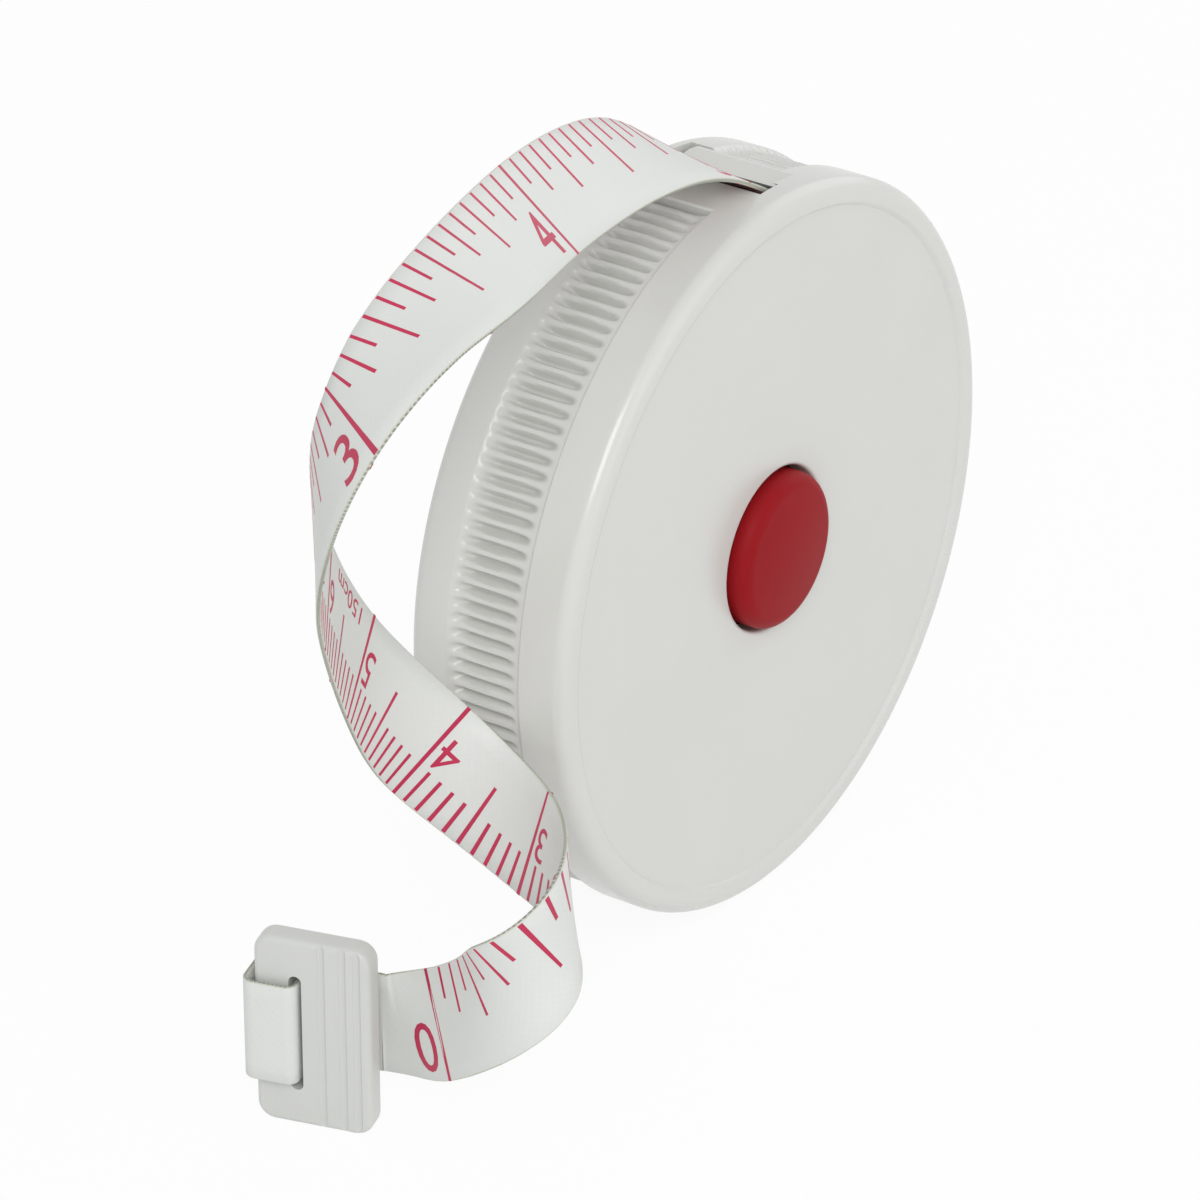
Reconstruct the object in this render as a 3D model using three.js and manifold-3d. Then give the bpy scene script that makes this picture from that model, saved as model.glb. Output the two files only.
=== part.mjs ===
import * as THREE from 'three';
import { mergeVertices } from 'three/addons/utils/BufferGeometryUtils.js';
import Module from 'manifold-3d';

const wasm = await Module();
wasm.setup();

// A round cloth tape measure with a push button in its face, standing on its rim.
// The disc axis lies along Y. The origin is the middle of the flat back face, the
// button looks toward -Y and +Z is up. All lengths are in millimetres.

// Driving dimensions: case
const case_diameter = 50;
const back_wall = 1.2;
const face_wall = 1;
const face_recess = 0.3;
const side_wall = 2;
const rim_rounding = 1;
const back_rim_depth = 2.8;
const front_rim_depth = 3.5;
const ring_line_inset = 1.9;
const seam_gap = 0.3;
const rib_inset = 0.35;
const rib_depth = 0.5;
const rib_fade = 1.1;
const tongue_height = 1;
const tongue_wall = 0.8;
const hole_edge = 0.3;
const guide_wall = 0.85;
const guide_height = 0.7;
const post_diameter = 4.4;

// Driving dimensions: mouth in the rim
const mouth_left = 3;
const mouth_right = 5.3;
const mouth_back_wall = 1.3;
const mouth_rounding = 0.6;
const slot_thickness = 1.2;
const slot_side_gap = 0.4;
const slot_offset = 2.2;
const slot_inset = 0.7;

// Driving dimensions: tape
const tape_width = 7.2;
const tape_thickness = 0.3;
const wound_inset = 1.2;
const wound_pitch = 0.77;
const wound_tuck = 0.45;
const wound_tail = 0.75;
const fold_bend = 0.75;
const slot_bend = 0.6;
const fold_gap = 0.45;
const fold_end_inset = 2.1;

// Driving dimensions: reel and its spring
const hub_clearance = 0.5;
const hub_wall = 0.9;
const flange_clearance = 1.4;
const flange_thickness = 0.55;
const mainspring_width = 3.8;
const mainspring_thickness = 0.2;
const mainspring_pitch = 0.66;
const spring_cover_thickness = 0.5;
const wedge_width = 0.7;
const wedge_depth = 0.6;

// Driving dimensions: button, brake and axle
const button_diameter = 10.7;
const button_proud = 1.2;
const button_crown = 0.3;
const button_rounding = 0.6;
const button_wall = 1.1;
const button_flange_diameter = 15.2;
const button_flange_thickness = 0.5;
const brake_width = 0.7;
const brake_thickness = 0.5;
const button_spring_diameter = 5.8;
const button_spring_wire = 0.4;
const washer_diameter = 7.8;
const washer_thickness = 0.3;
const screw_diameter = 1.3;
const screw_length = 3;
const screw_head_diameter = 3;
const screw_head_height = 0.9;
const screw_head_rounding = 0.3;

// Driving dimensions: end tab
const tab_width = 7.8;
const tab_height = 13.6;
const tab_thickness = 1.8;
const tab_corner = 1.2;
const tab_bevel = 0.25;
const tab_bar_width = 2.35;
const tab_slot_width = 0.85;
const tab_slot_margin = 0.6;
const tab_groove_width = 0.35;
const tab_groove_depth = 0.25;
const tab_hinge_inset = 1.45;
const tab_hinge_gap = 0.2;

// Clearances and cutting overrun
const run_gap = 0.3;
const fit_gap = 0.3;
const overrun = 1;

// Counts of repeats and of facets
const rib_count = 150;
const button_spring_turns = 3.75;
const case_steps = 80;
const inner_steps = 40;
const small_steps = 24;
const wire_sides = 5;
const wind_steps = 24;
const curl_steps = 10;
const corner_steps = 3;
const route_steps = 4;

// One rib of the grip band: where in its pitch the crest and the flute floor begin and end
const rib_crest_shares = [-0.27, 0.27];
const rib_floor_shares = [0.4, 0.6];

// Grooves of the tab, measured from its bar side, and crown points of the button
const tab_groove_shares = [0.58, 0.76, 0.885];
const crown_shares = [0, 0.35, 0.65, 0.88];

// Free tape from the mouth down to the tab: centre as shares of the case radius, then the
// direction across the tape. It is set by hand after the loop that the real tape lies in.
const route_shares = [
  [-0.155, -0.245, 1.14, 0.12, 0.97, 0.2],
  [-0.455, -0.28, 1.25, 0.3, 0.86, 0.4],
  [-0.89, -0.36, 1.325, 0.46, 0.74, 0.48],
  [-1.44, -0.505, 1.38, 0.46, 0.84, 0.3],
  [-1.74, -0.53, 1.33, 0.47, 0.86, 0.2],
  [-1.885, -0.485, 1.18, 0.56, 0.77, 0.3],
  [-1.865, -0.385, 0.955, 0.6, 0.6, 0.52],
  [-1.68, -0.235, 0.635, 0.57, 0.4, 0.72],
  [-1.4, -0.115, 0.225, 0.55, 0.27, 0.79],
  [-1.19, -0.12, -0.08, 0.43, 0.05, 0.9],
  [-1.09, -0.255, -0.25, 0.33, -0.25, 0.91],
  [-1.125, -0.465, -0.32, 0.25, -0.3, 0.92],
  [-1.305, -0.705, -0.275, -0.1, -0.1, 0.98],
  [-1.44, -0.805, -0.28, -0.3, 0, 0.95],
  [-1.56, -0.815, -0.335, -0.3, 0.08, 0.94],
  [-1.62, -0.72, -0.445, 0.05, 0.2, 0.98],
  [-1.57, -0.59, -0.57, 0.25, 0.2, 0.95],
  [-1.52, -0.455, -0.672, 0.2, 0.15, 0.97],
  [-1.504, -0.332, -0.724, 0, 0, 1],
];

// Where the tab hangs on the tape: its place as shares of the case radius, and its heading
const tab_place_shares = [-1.528, -0.236];
const tab_heading = THREE.MathUtils.degToRad(-75);

// Radii that follow
const case_radius = case_diameter / 2;
const crest_radius = case_radius - rib_inset;
const flute_radius = crest_radius - rib_depth;
const cavity_radius = case_radius - side_wall;
const tongue_radius = cavity_radius + tongue_wall;
const ring_line_radius = case_radius - ring_line_inset;
const button_radius = button_diameter / 2;
const button_hole_radius = button_radius + fit_gap;
const guide_radius = button_hole_radius + guide_wall;
const brake_seat_radius = guide_radius + run_gap;
const button_flange_radius = button_flange_diameter / 2;
const post_radius = post_diameter / 2;
const post_bore_radius = post_radius + run_gap;
const hub_inner_radius = button_flange_radius + hub_clearance;
const hub_radius = hub_inner_radius + hub_wall;
const flange_radius = cavity_radius - flange_clearance;
const pilot_radius = screw_diameter / 2 + fit_gap;
const wound_radius = flange_radius - wound_inset;
const slot_height = case_radius - slot_inset;

// Planes that follow, from the back face forward
const reel_back_y = -(back_wall + run_gap);
const drum_floor_y = reel_back_y - flange_thickness;
const tape_back_y = drum_floor_y - run_gap;
const tape_front_y = tape_back_y - tape_width;
const tape_middle_y = (tape_back_y + tape_front_y) / 2;
const brake_seat_y = tape_front_y - run_gap;
const reel_front_y = brake_seat_y - flange_thickness;
const face_inner_y = reel_front_y - run_gap;
const face_y = face_inner_y - face_wall;
const front_y = face_y - face_recess;
const seam_y = front_y + front_rim_depth;
const band_front_y = seam_y + seam_gap;
const floor_z = -case_radius;

// The reel's spring and the axle, from the drum floor forward
const mainspring_back_y = tape_back_y;
const mainspring_front_y = mainspring_back_y - mainspring_width;
const spring_cover_back_y = mainspring_front_y - run_gap;
const spring_cover_front_y = spring_cover_back_y - spring_cover_thickness;
const washer_back_y = spring_cover_front_y - run_gap;
const washer_front_y = washer_back_y - washer_thickness;

// The button and its brake, from the crown back
const crown_y = front_y - button_proud;
const button_ceiling_y = crown_y + button_wall;
const brake_front_y = brake_seat_y + run_gap;
const brake_back_y = brake_front_y + brake_thickness;
const button_flange_back_y = brake_back_y + button_flange_thickness;

// The straight run of the tape from the winding out through the slot
const slot_reach = Math.hypot(slot_offset, slot_height);
const slot_lean = Math.atan2(slot_offset, slot_height) + Math.acos(wound_radius / slot_reach);
const wound_end_angle = Math.PI / 2 - slot_lean;
const wound_start_radius = hub_radius + fit_gap + tape_thickness / 2;
const wound_turns = (wound_radius - wound_start_radius) / wound_pitch;
const wound_start_angle = wound_end_angle - wound_turns * 2 * Math.PI;
const run_direction = new THREE.Vector3(-Math.cos(slot_lean), 0, Math.sin(slot_lean));
const run_start = new THREE.Vector3(
  wound_radius * Math.cos(wound_end_angle),
  tape_middle_y,
  wound_radius * Math.sin(wound_end_angle),
);
const slot_centre = new THREE.Vector3(slot_offset, tape_middle_y, slot_height);

// Turns a closed geometry into a solid for cutting and joining
function solid(geometry) {
  const shape = geometry.clone();
  shape.deleteAttribute('normal');
  shape.deleteAttribute('uv');
  const merged = mergeVertices(shape);
  const points = merged.attributes.position;
  const triangles = [];
  let volume = 0;
  const [a, b, c] = [new THREE.Vector3(), new THREE.Vector3(), new THREE.Vector3()];
  for (let k = 0; k < merged.index.count; k += 3) {
    const [i, j, l] = [0, 1, 2].map((corner) => merged.index.getX(k + corner));
    if (i === j || j === l || l === i) continue;
    triangles.push([i, j, l]);
    a.fromBufferAttribute(points, i);
    b.fromBufferAttribute(points, j);
    c.fromBufferAttribute(points, l);
    volume += a.dot(b.cross(c));
  }
  const outward = triangles.map(([i, j, l]) => (volume < 0 ? [i, l, j] : [i, j, l]));
  return new wasm.Manifold(new wasm.Mesh({
    numProp: 3,
    vertProperties: new Float32Array(points.array),
    triVerts: new Uint32Array(outward.flat()),
  }));
}

// Revolves a closed profile of [radius, y] points about the disc axis
function revolve(profile, steps) {
  const points = [...profile, profile[0]].map(([radius, y]) => new THREE.Vector2(radius, y));
  return solid(new THREE.LatheGeometry(points, steps));
}

// A block between two corners
function block(low, high) {
  const size = high.map((value, axis) => value - low[axis]);
  const middle = high.map((value, axis) => (value + low[axis]) / 2);
  return new THREE.BoxGeometry(...size).translate(...middle);
}

// Points of a rounded corner in a flat outline, from one angle to another in quarter turns
function corner(centre, radius, from, to, steps = corner_steps) {
  return Array.from({ length: steps + 1 }, (_, k) => {
    const angle = (from + (to - from) * k / steps) * Math.PI / 2;
    return [centre[0] + radius * Math.cos(angle), centre[1] + radius * Math.sin(angle)];
  });
}

// Sweeps a section of [across, through] offsets along stations into one closed body
function sweep(stations, section) {
  const sides = section.length;
  const positions = [];
  for (const { centre, across, along } of stations) {
    const through = new THREE.Vector3().crossVectors(along, across).normalize();
    for (const [shift, lift] of section) {
      const point = centre.clone().addScaledVector(across, shift).addScaledVector(through, lift);
      positions.push(...point.toArray());
    }
  }
  const index = [];
  for (let k = 0; k + 1 < stations.length; k += 1) {
    for (let side = 0; side < sides; side += 1) {
      const a = k * sides + side;
      const b = k * sides + (side + 1) % sides;
      index.push(a, b, a + sides, b, b + sides, a + sides);
    }
  }
  const last = (stations.length - 1) * sides;
  for (let side = 1; side + 1 < sides; side += 1) {
    index.push(0, side + 1, side);
    index.push(last, last + side, last + side + 1);
  }
  const geometry = new THREE.BufferGeometry();
  geometry.setAttribute('position', new THREE.Float32BufferAttribute(positions, 3));
  geometry.setIndex(index);
  return solid(geometry);
}

// The flat section of a strip
function strip_section(width, thickness) {
  const [half, rise] = [width / 2, thickness / 2];
  return [[-half, -rise], [half, -rise], [half, rise], [-half, rise]];
}

// Stations along a line of points, with one direction across all of them
function stations_on(points, across) {
  return points.map((centre, k) => {
    const before = points[Math.max(k - 1, 0)];
    const after = points[Math.min(k + 1, points.length - 1)];
    const along = new THREE.Vector3().subVectors(after, before).normalize();
    return { centre, across, along };
  });
}

// Points of a flat spiral about the disc axis that ends at a given radius and angle
function spiral(start_radius, end_radius, turns, end_angle, y) {
  const count = Math.round(turns * wind_steps);
  return Array.from({ length: count + 1 }, (_, k) => {
    const angle = end_angle - (turns * 2 * Math.PI * (count - k)) / count;
    const radius = start_radius + (end_radius - start_radius) * k / count;
    return new THREE.Vector3(radius * Math.cos(angle), y, radius * Math.sin(angle));
  });
}

// Prints how near a wound line comes to itself, past the turn that it is in
function print_least_gap(label, points, turn_points, thickness) {
  let least = Infinity;
  for (let i = 0; i < points.length; i += 1) {
    for (let j = i + Math.ceil(turn_points / 2); j < points.length; j += 1) {
      least = Math.min(least, points[i].distanceTo(points[j]));
    }
  }
  console.log(`${label}: least gap to itself ${(least - thickness).toFixed(2)} mm`);
}

// Back cover: a cup with a flat back, a ribbed grip band, the reel's post and a fitting tongue
function back_cover() {
  const rim_inner_y = -back_rim_depth;
  const shell = revolve([
    [0, 0],
    ...corner([case_radius - rim_rounding, -rim_rounding], rim_rounding, 1, 0),
    [case_radius, rim_inner_y],
    [flute_radius, rim_inner_y - rib_fade],
    [tongue_radius, rim_inner_y - rib_fade],
    [tongue_radius, band_front_y - tongue_height],
    [cavity_radius, band_front_y - tongue_height],
    [cavity_radius, -back_wall],
    [post_radius, -back_wall],
    [post_radius, spring_cover_front_y],
    [pilot_radius, spring_cover_front_y],
    [pilot_radius, spring_cover_front_y + screw_length],
    [0, spring_cover_front_y + screw_length],
  ], case_steps);
  const pitch = 2 * Math.PI / rib_count;
  const points = [];
  for (let rib = 0; rib < rib_count; rib += 1) {
    const crest = rib_crest_shares.map((share) => [(rib + share) * pitch, crest_radius]);
    const floor = rib_floor_shares.map((share) => [(rib + share) * pitch, flute_radius]);
    for (const [angle, radius] of [...crest, ...floor]) {
      points.push(new THREE.Vector2(radius * Math.cos(angle), radius * Math.sin(angle)));
    }
  }
  const outline = new THREE.Shape(points);
  const bore = new THREE.Path();
  bore.absarc(0, 0, (cavity_radius + tongue_radius) / 2, 0, 2 * Math.PI);
  outline.holes.push(bore);
  const band_back_y = -(back_rim_depth + rim_rounding) / 2;
  const ribs = new THREE.ExtrudeGeometry(outline, {
    depth: band_back_y - band_front_y,
    bevelEnabled: false,
    curveSegments: inner_steps / 2,
  });
  ribs.rotateX(Math.PI / 2).translate(0, band_back_y, 0);
  const notch = block(
    [-mouth_left - fit_gap, band_front_y - tongue_height - overrun, cavity_radius - side_wall],
    [mouth_right + fit_gap, -mouth_back_wall, case_radius + overrun],
  );
  return shell.add(solid(ribs)).subtract(solid(notch));
}

// Front cover: face with a shallow recess inside its ring line, the button's guide, a smooth
// rim that fits over the back cover's tongue, and the block with the slot that the tape leaves by
function front_cover() {
  const rebate_radius = tongue_radius + fit_gap;
  const rebate_y = band_front_y - tongue_height - fit_gap;
  const shell = revolve([
    [button_hole_radius + hole_edge, face_y],
    [ring_line_radius, face_y],
    [ring_line_radius + face_recess, front_y],
    ...corner([case_radius - rim_rounding, front_y + rim_rounding], rim_rounding, -1, 0),
    [case_radius, seam_y],
    [rebate_radius, seam_y],
    [rebate_radius, rebate_y],
    [cavity_radius, rebate_y],
    [cavity_radius, face_inner_y],
    [guide_radius, face_inner_y],
    [guide_radius, face_inner_y + guide_height],
    [button_hole_radius, face_inner_y + guide_height],
    [button_hole_radius, face_y + hole_edge],
  ], case_steps);
  const block_back_y = -mouth_back_wall - fit_gap;
  const mouth_ring = revolve([
    [cavity_radius, rebate_y - fit_gap],
    [case_radius, rebate_y - fit_gap],
    ...corner([case_radius - mouth_rounding, block_back_y - mouth_rounding], mouth_rounding, 0, 1),
    [cavity_radius, block_back_y],
  ], case_steps);
  const frame = block(
    [-mouth_left, rebate_y - overrun, 0],
    [mouth_right, 0, case_radius + overrun],
  );
  const slot = block(
    [-side_wall * 2, tape_front_y - slot_side_gap, -slot_thickness / 2],
    [side_wall * 2, 0, slot_thickness / 2],
  );
  slot.rotateY(slot_lean).translate(slot_centre.x, 0, slot_centre.z);
  return shell.add(mouth_ring.intersect(solid(frame))).subtract(solid(slot));
}

// Push button: a crowned cap on a skirt, with a flange that carries the brake ring
function push_button() {
  const crown_radius = button_radius - button_rounding;
  const edge_y = crown_y + button_crown;
  return revolve([
    ...crown_shares.map((share) => [crown_radius * share, crown_y + button_crown * share * share]),
    ...corner([crown_radius, edge_y + button_rounding], button_rounding, -1, 0),
    [button_radius, brake_back_y],
    [button_flange_radius, brake_back_y],
    [button_flange_radius, button_flange_back_y],
    [button_radius - button_wall, button_flange_back_y],
    [button_radius - button_wall, button_ceiling_y],
    [0, button_ceiling_y],
  ], inner_steps);
}

// A flat ring between two radii and two planes
function ring(inner_radius, outer_radius, front, back, steps) {
  return revolve([
    [inner_radius, front],
    [outer_radius, front],
    [outer_radius, back],
    [inner_radius, back],
  ], steps);
}

// Moves a shape from the hub's +X side to where the tape's inner end is tucked in
function place_in_hub(geometry) {
  return geometry.translate(0, 0, -wound_tuck).rotateY(-wound_start_angle);
}

// Reel drum: rear flange and hub in one, with the hub's slot for the tape's inner end
function reel_drum() {
  const drum = revolve([
    [post_bore_radius, reel_back_y],
    [flange_radius, reel_back_y],
    [flange_radius, drum_floor_y],
    [hub_radius, drum_floor_y],
    [hub_radius, brake_seat_y],
    [hub_inner_radius, brake_seat_y],
    [hub_inner_radius, drum_floor_y],
    [post_bore_radius, drum_floor_y],
  ], inner_steps);
  const slot = block(
    [hub_inner_radius - overrun, brake_seat_y - overrun, -tape_thickness / 2 - fit_gap],
    [hub_radius + overrun, drum_floor_y, tape_thickness / 2 + fit_gap * 2 + wedge_width],
  );
  return drum.subtract(solid(place_in_hub(slot)));
}

// Wedge: a small key beside the tape's inner end, in the hub's slot
function tape_wedge() {
  const side = tape_thickness / 2 + fit_gap;
  const middle = (hub_radius + hub_inner_radius) / 2;
  return solid(place_in_hub(block(
    [middle - wedge_depth / 2, tape_front_y, side],
    [middle + wedge_depth / 2, tape_back_y, side + wedge_width],
  )));
}

// Wound tape: one spiral from the hub's slot to where the straight run leaves it
function wound_tape() {
  const turns = spiral(
    wound_start_radius, wound_radius, wound_turns, wound_end_angle, tape_middle_y,
  );
  const outward = turns[0].clone().setY(0).normalize();
  const forward = new THREE.Vector3(-outward.z, 0, outward.x);
  const bend = turns[0].clone().addScaledVector(outward, -wound_tuck);
  const tuck = corner([0, 0], wound_tuck, -1, 0).slice(0, -1).map(([out, on]) => (
    bend.clone().addScaledVector(outward, out).addScaledVector(forward, on)
  ));
  const tail = tuck[0].clone().addScaledVector(outward, -wound_tail);
  print_least_gap('wound tape', turns, wind_steps, tape_thickness);
  const points = [tail, ...tuck, ...turns];
  return sweep(
    stations_on(points, new THREE.Vector3(0, 1, 0)),
    strip_section(tape_width, tape_thickness),
  );
}

// Mainspring: a flat steel spiral round the post, inside the hub
function mainspring() {
  const start = post_radius + fit_gap + mainspring_thickness / 2;
  const end = hub_inner_radius - fit_gap - mainspring_thickness / 2;
  const middle_y = (mainspring_back_y + mainspring_front_y) / 2;
  const points = spiral(start, end, (end - start) / mainspring_pitch, 0, middle_y);
  print_least_gap('mainspring', points, wind_steps, mainspring_thickness);
  return sweep(
    stations_on(points, new THREE.Vector3(0, 1, 0)),
    strip_section(mainspring_width, mainspring_thickness),
  );
}

// Button spring: round wire between the axle washer and the button's ceiling
function button_spring() {
  const seat = fit_gap + button_spring_wire / 2;
  const [low, high] = [washer_front_y - seat, button_ceiling_y + seat];
  const radius = button_spring_diameter / 2;
  const count = Math.round(button_spring_turns * curl_steps);
  const stations = Array.from({ length: count + 1 }, (_, k) => {
    const angle = 2 * Math.PI * k / curl_steps;
    const outward = new THREE.Vector3(Math.cos(angle), 0, Math.sin(angle));
    const centre = outward.clone().multiplyScalar(radius).setY(low + (high - low) * k / count);
    const along = new THREE.Vector3(-Math.sin(angle), 0, Math.cos(angle));
    return { centre, across: outward, along };
  });
  print_least_gap('button spring', stations.map(({ centre }) => centre), curl_steps,
    button_spring_wire);
  const section = Array.from({ length: wire_sides }, (_, side) => {
    const angle = 2 * Math.PI * side / wire_sides;
    return [Math.cos(angle) * button_spring_wire / 2, Math.sin(angle) * button_spring_wire / 2];
  });
  return sweep(stations, section);
}

// Axle screw: its head bears on the washer and its shank is in the post's pilot hole
function axle_screw() {
  const head_radius = screw_head_diameter / 2;
  const head_y = washer_front_y - screw_head_height;
  return revolve([
    [0, head_y],
    ...corner([head_radius - screw_head_rounding, head_y + screw_head_rounding],
      screw_head_rounding, -1, 0),
    [head_radius, washer_front_y],
    [screw_diameter / 2, washer_front_y],
    [screw_diameter / 2, washer_front_y + screw_length],
    [0, washer_front_y + screw_length],
  ], small_steps);
}

// The tab's own directions: along the tape, through the plate away from the front, and up
const tab_along = new THREE.Vector3(Math.cos(tab_heading), Math.sin(tab_heading), 0);
const tab_through = new THREE.Vector3(-Math.sin(tab_heading), Math.cos(tab_heading), 0);
const tab_hinge = new THREE.Vector3(
  tab_place_shares[0] * case_radius,
  tab_place_shares[1] * case_radius,
  floor_z + tab_height / 2,
);
const strand_back = tab_thickness / 2 + fit_gap + tape_thickness / 2;
const strand_hinge = strand_back + tape_thickness + fold_gap;
const tab_hinge_along = tab_width - tab_hinge_inset;

// Moves a shape from the tab's own place to where the tab hangs
function place_tab(geometry) {
  return geometry
    .translate(-tab_hinge_along, -strand_hinge, 0)
    .rotateZ(tab_heading)
    .translate(...tab_hinge.toArray());
}

// End tab: a plate with round corners, the slot beside its bar and grip grooves on its front
function end_tab() {
  const [high, round] = [tab_height / 2, tab_corner];
  const outline = new THREE.Shape([
    ...corner([tab_width - round, high - round], round, 0, 1),
    ...corner([round, high - round], round, 1, 2),
    ...corner([round, round - high], round, 2, 3),
    ...corner([tab_width - round, round - high], round, -1, 0),
  ].map(([x, z]) => new THREE.Vector2(x, z)));
  const plate = new THREE.ExtrudeGeometry(outline, {
    depth: tab_thickness - tab_bevel * 2,
    bevelThickness: tab_bevel,
    bevelSize: tab_bevel,
    bevelOffset: -tab_bevel,
    bevelSegments: 1,
  });
  plate.rotateX(Math.PI / 2).translate(0, tab_thickness / 2 - tab_bevel, 0);
  const slot_high = tape_width / 2 + tab_slot_margin;
  const slot = block(
    [tab_bar_width, -tab_thickness, -slot_high],
    [tab_bar_width + tab_slot_width, tab_thickness, slot_high],
  );
  let tab = solid(place_tab(plate)).subtract(solid(place_tab(slot)));
  for (const share of tab_groove_shares) {
    const groove = block(
      [share * tab_width - tab_groove_width / 2, -tab_thickness, -tab_height],
      [share * tab_width + tab_groove_width / 2, tab_groove_depth - tab_thickness / 2, tab_height],
    );
    tab = tab.subtract(solid(place_tab(groove)));
  }
  return tab;
}

// End fold: the tape goes round the bar, back through the slot and lies against its own back
function tape_end_fold() {
  const left = fold_gap + tape_thickness / 2;
  const slot_middle = tab_bar_width + tab_slot_width / 2;
  const outline = [
    [tab_hinge_along - tab_hinge_gap, strand_hinge],
    ...corner([fold_bend - left, strand_hinge - fold_bend], fold_bend, 1, 2),
    ...corner([fold_bend - left, fold_bend - strand_back], fold_bend, 2, 3),
    ...corner([slot_middle - slot_bend, slot_bend - strand_back], slot_bend, -1, 0),
    ...corner([slot_middle + slot_bend, strand_back - slot_bend], slot_bend, 2, 1),
    [tab_width - fold_end_inset, strand_back],
  ];
  const points = outline.map(([along, through]) => (
    tab_hinge.clone()
      .addScaledVector(tab_along, along - tab_hinge_along)
      .addScaledVector(tab_through, through - strand_hinge)
  ));
  return sweep(
    stations_on(points, new THREE.Vector3(0, 0, 1)),
    strip_section(tape_width, tape_thickness),
  );
}

// Free tape: a straight run from the winding through the slot, then the loop beside the case,
// down to where the tab hangs. The strip twists from lying across the rim to standing on edge.
function free_tape() {
  const across_mouth = new THREE.Vector3(0, 1, 0);
  const upright = new THREE.Vector3(0, 0, 1);
  const [tab_lead, slot_lead] = [tape_width / 3, tape_width];
  const end = tab_hinge.clone().addScaledVector(tab_along, tab_hinge_gap);
  const route = route_shares.map(([x, y, z, ...across]) => ({
    centre: new THREE.Vector3(x, y, z).multiplyScalar(case_radius),
    across: new THREE.Vector3(...across).normalize(),
  })).reverse();
  const line = [
    { centre: end.clone().addScaledVector(tab_along, -tab_lead), across: upright },
    { centre: end, across: upright },
    ...route,
    { centre: slot_centre, across: across_mouth },
    { centre: slot_centre.clone().addScaledVector(run_direction, -slot_lead), across: across_mouth },
  ];
  const centres = new THREE.CatmullRomCurve3(line.map((row) => row.centre), false, 'catmullrom');
  const turns = new THREE.CatmullRomCurve3(line.map((row) => row.across), false, 'catmullrom');
  const spans = line.length - 1;
  const stations = [];
  for (let k = route_steps; k <= (spans - 1) * route_steps; k += 1) {
    const share = k / (spans * route_steps);
    const along = centres.getTangent(share);
    const across = turns.getPoint(share).projectOnPlane(along).normalize();
    stations.push({ centre: centres.getPoint(share), across, along });
  }
  const back = run_direction.clone().negate();
  const inner = run_start.clone().addScaledVector(run_direction, run_gap);
  stations.push({ centre: inner, across: across_mouth, along: back });
  return sweep(stations, strip_section(tape_width, tape_thickness));
}

// Finishes: colours as the real pieces have them
function finish(colour, roughness, metalness = 0) {
  return new THREE.MeshStandardMaterial({ color: colour, roughness, metalness });
}
const white_plastic = finish(0xd9dad4, 0.4);
const red_plastic = finish(0x9e1e26, 0.4);
const inner_plastic = finish(0xc8c9c4, 0.5);
const coated_cloth = finish(0xe1e4e0, 0.7);
const steel = finish(0x9a9ea3, 0.35, 1);
const brake_rubber = finish(0x2b2b2d, 0.85);

// The whole tape measure
const tape_measure = new THREE.Group();

function add_piece(name, body, material) {
  const mesh = body.getMesh();
  const geometry = new THREE.BufferGeometry();
  geometry.setAttribute('position', new THREE.Float32BufferAttribute(mesh.vertProperties, 3));
  geometry.setIndex(Array.from(mesh.triVerts));
  geometry.computeVertexNormals();
  const piece = new THREE.Mesh(geometry, material);
  piece.name = name;
  tape_measure.add(piece);
}

add_piece('back_cover', back_cover(), white_plastic);
add_piece('front_cover', front_cover(), white_plastic);
add_piece('push_button', push_button(), red_plastic);
add_piece('brake_ring', ring(
  button_flange_radius - brake_width, button_flange_radius, brake_front_y, brake_back_y, inner_steps,
), brake_rubber);
add_piece('button_spring', button_spring(), steel);
add_piece('reel_drum', reel_drum(), inner_plastic);
add_piece('reel_front_flange', ring(
  brake_seat_radius, flange_radius, reel_front_y, brake_seat_y, inner_steps,
), inner_plastic);
add_piece('mainspring', mainspring(), steel);
add_piece('spring_cover', ring(
  post_bore_radius, hub_inner_radius - fit_gap, spring_cover_front_y, spring_cover_back_y, inner_steps,
), steel);
add_piece('axle_washer', ring(
  pilot_radius, washer_diameter / 2, washer_front_y, washer_back_y, small_steps,
), steel);
add_piece('axle_screw', axle_screw(), steel);
add_piece('tape_wedge', tape_wedge(), inner_plastic);
add_piece('wound_tape', wound_tape(), coated_cloth);
add_piece('free_tape', free_tape(), coated_cloth);
add_piece('tape_end_fold', tape_end_fold(), coated_cloth);
add_piece('end_tab', end_tab(), white_plastic);

export default tape_measure;
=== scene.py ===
import math

import bmesh
import bpy
import numpy as np
from mathutils import Matrix, Vector


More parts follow.
